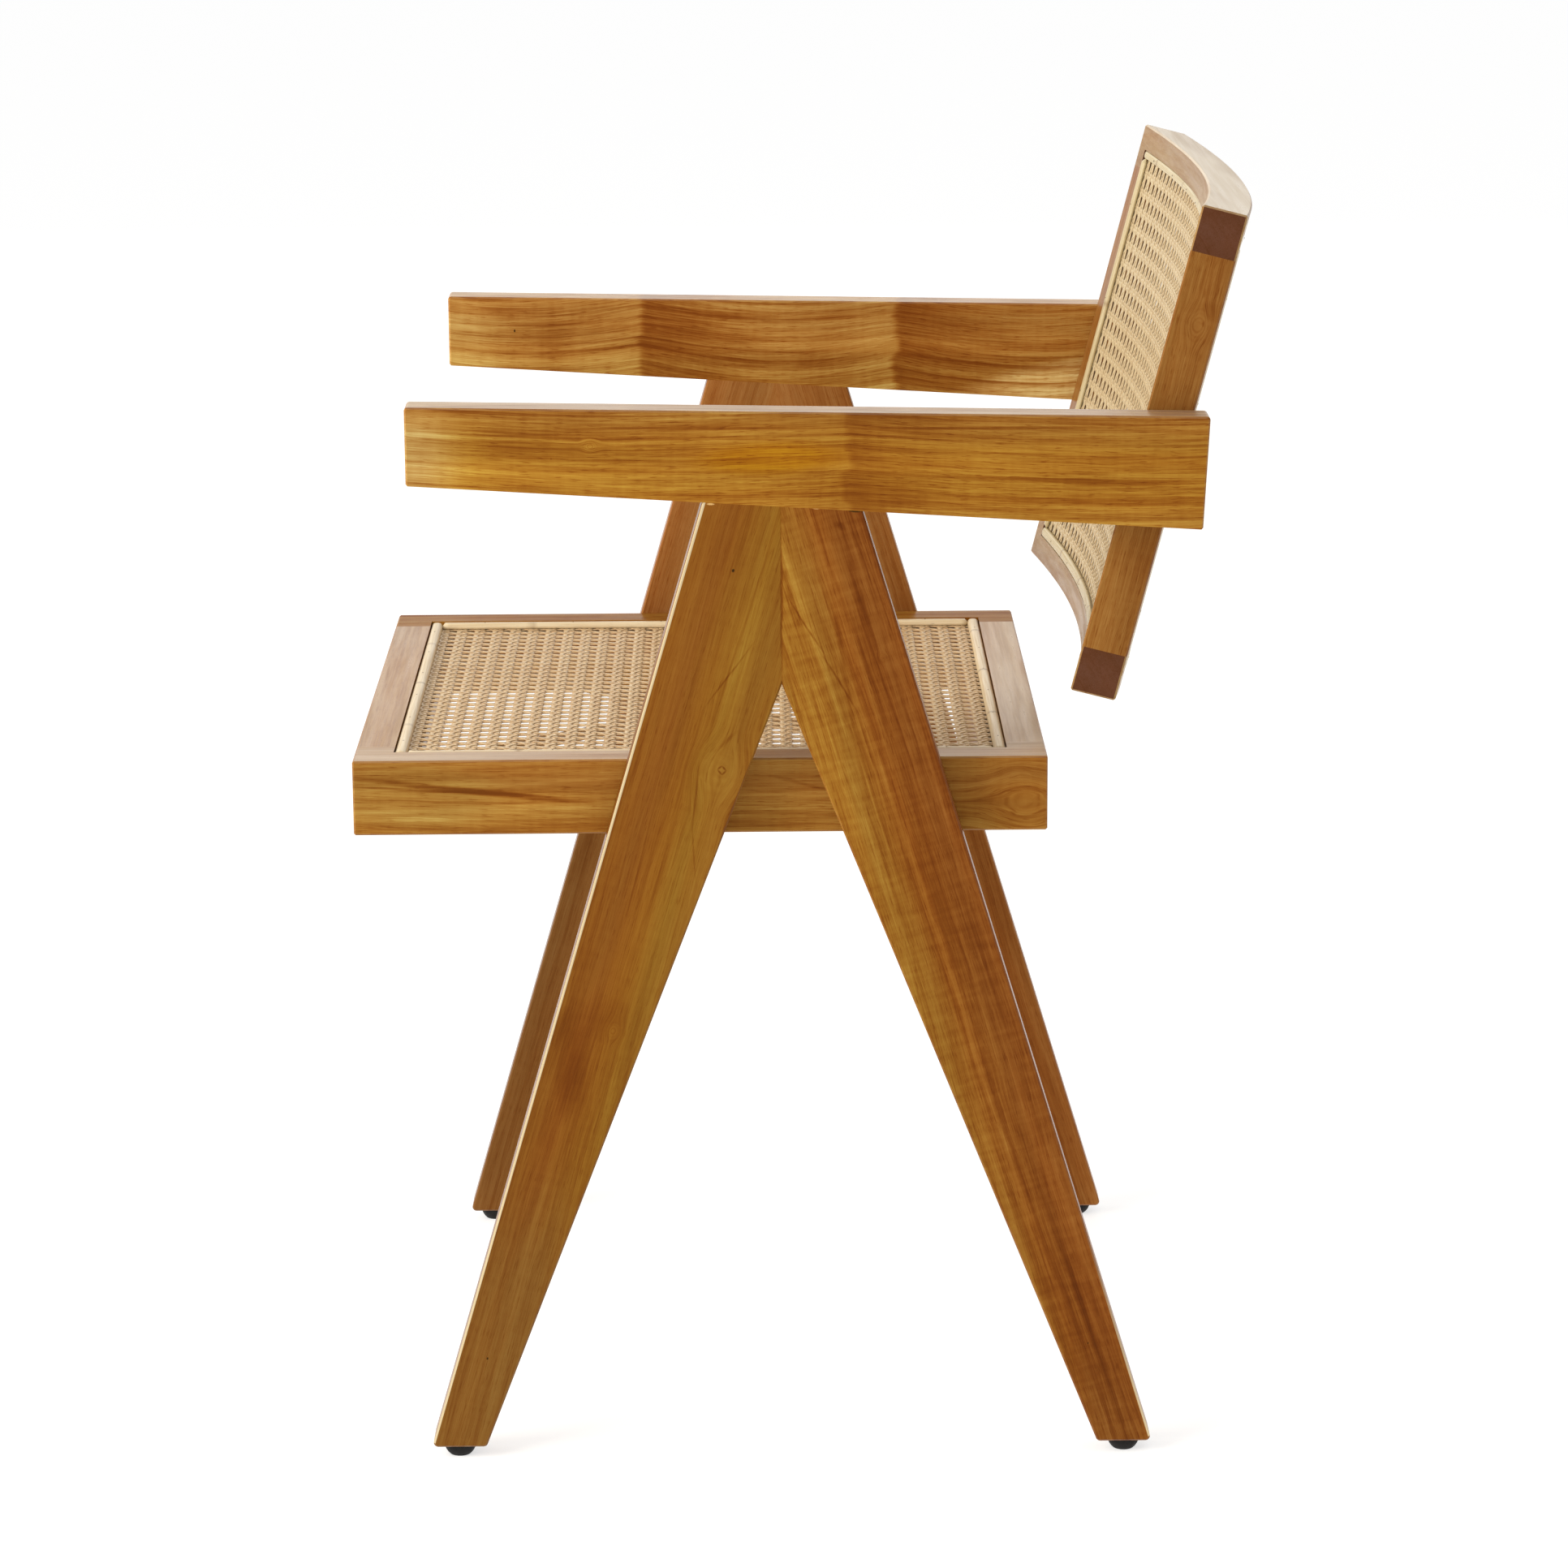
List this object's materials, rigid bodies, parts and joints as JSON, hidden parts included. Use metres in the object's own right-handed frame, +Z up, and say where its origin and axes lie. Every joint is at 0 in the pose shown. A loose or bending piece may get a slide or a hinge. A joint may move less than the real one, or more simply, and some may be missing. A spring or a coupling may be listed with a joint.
{
  "type": "armchair",
  "caption": "Open armchair with upturned V legs under tapered arms, a woven cane seat in a wooden frame and a leaning, bowed cane back.",
  "frame": {"origin": "on the floor, under the middle of the chair's footprint", "axes": "+Z up, the chair faces -Y, +X towards the sitter's left"},
  "size_m": [0.5, 0.5755, 0.8024],
  "materials": {
    "wood": "satin lacquer on golden brown hardwood",
    "cane": "natural split cane, six-way weave, slight gloss",
    "bead": "natural half-round cane bead, slight gloss",
    "strap": "flat woven webbing, matt",
    "glide": "dark moulded plastic, matt",
    "steel": "plain steel nail"
  },
  "bodies": {
    "root": {"front_leg_left": "wood", "front_leg_right": "wood", "rear_leg_left": "wood", "rear_leg_right": "wood", "arm_left": "wood", "arm_right": "wood", "seat_rail_left": "wood", "seat_rail_right": "wood", "seat_rail_front": "wood", "seat_rail_rear": "wood", "back_stile_left": "wood", "back_stile_right": "wood", "back_rail_top": "wood", "back_rail_bottom": "wood", "leg_seam_tongues": "wood", "seat_to_leg_tongues": "wood", "back_to_arm_tongues": "wood", "seat_cane": "cane", "back_cane_front": "cane", "back_cane_rear": "cane", "seat_bead_front": "bead", "seat_bead_rear": "bead", "seat_bead_left": "bead", "seat_bead_right": "bead", "back_front_bead_top": "bead", "back_front_bead_bottom": "bead", "back_front_bead_left": "bead", "back_front_bead_right": "bead", "back_rear_bead_top": "bead", "back_rear_bead_bottom": "bead", "back_rear_bead_left": "bead", "back_rear_bead_right": "bead", "seat_strap_upper": "strap", "seat_strap_lower": "strap", "front_glides": "glide", "rear_glides": "glide", "glide_nails": "steel"}
  },
  "joints": []
}
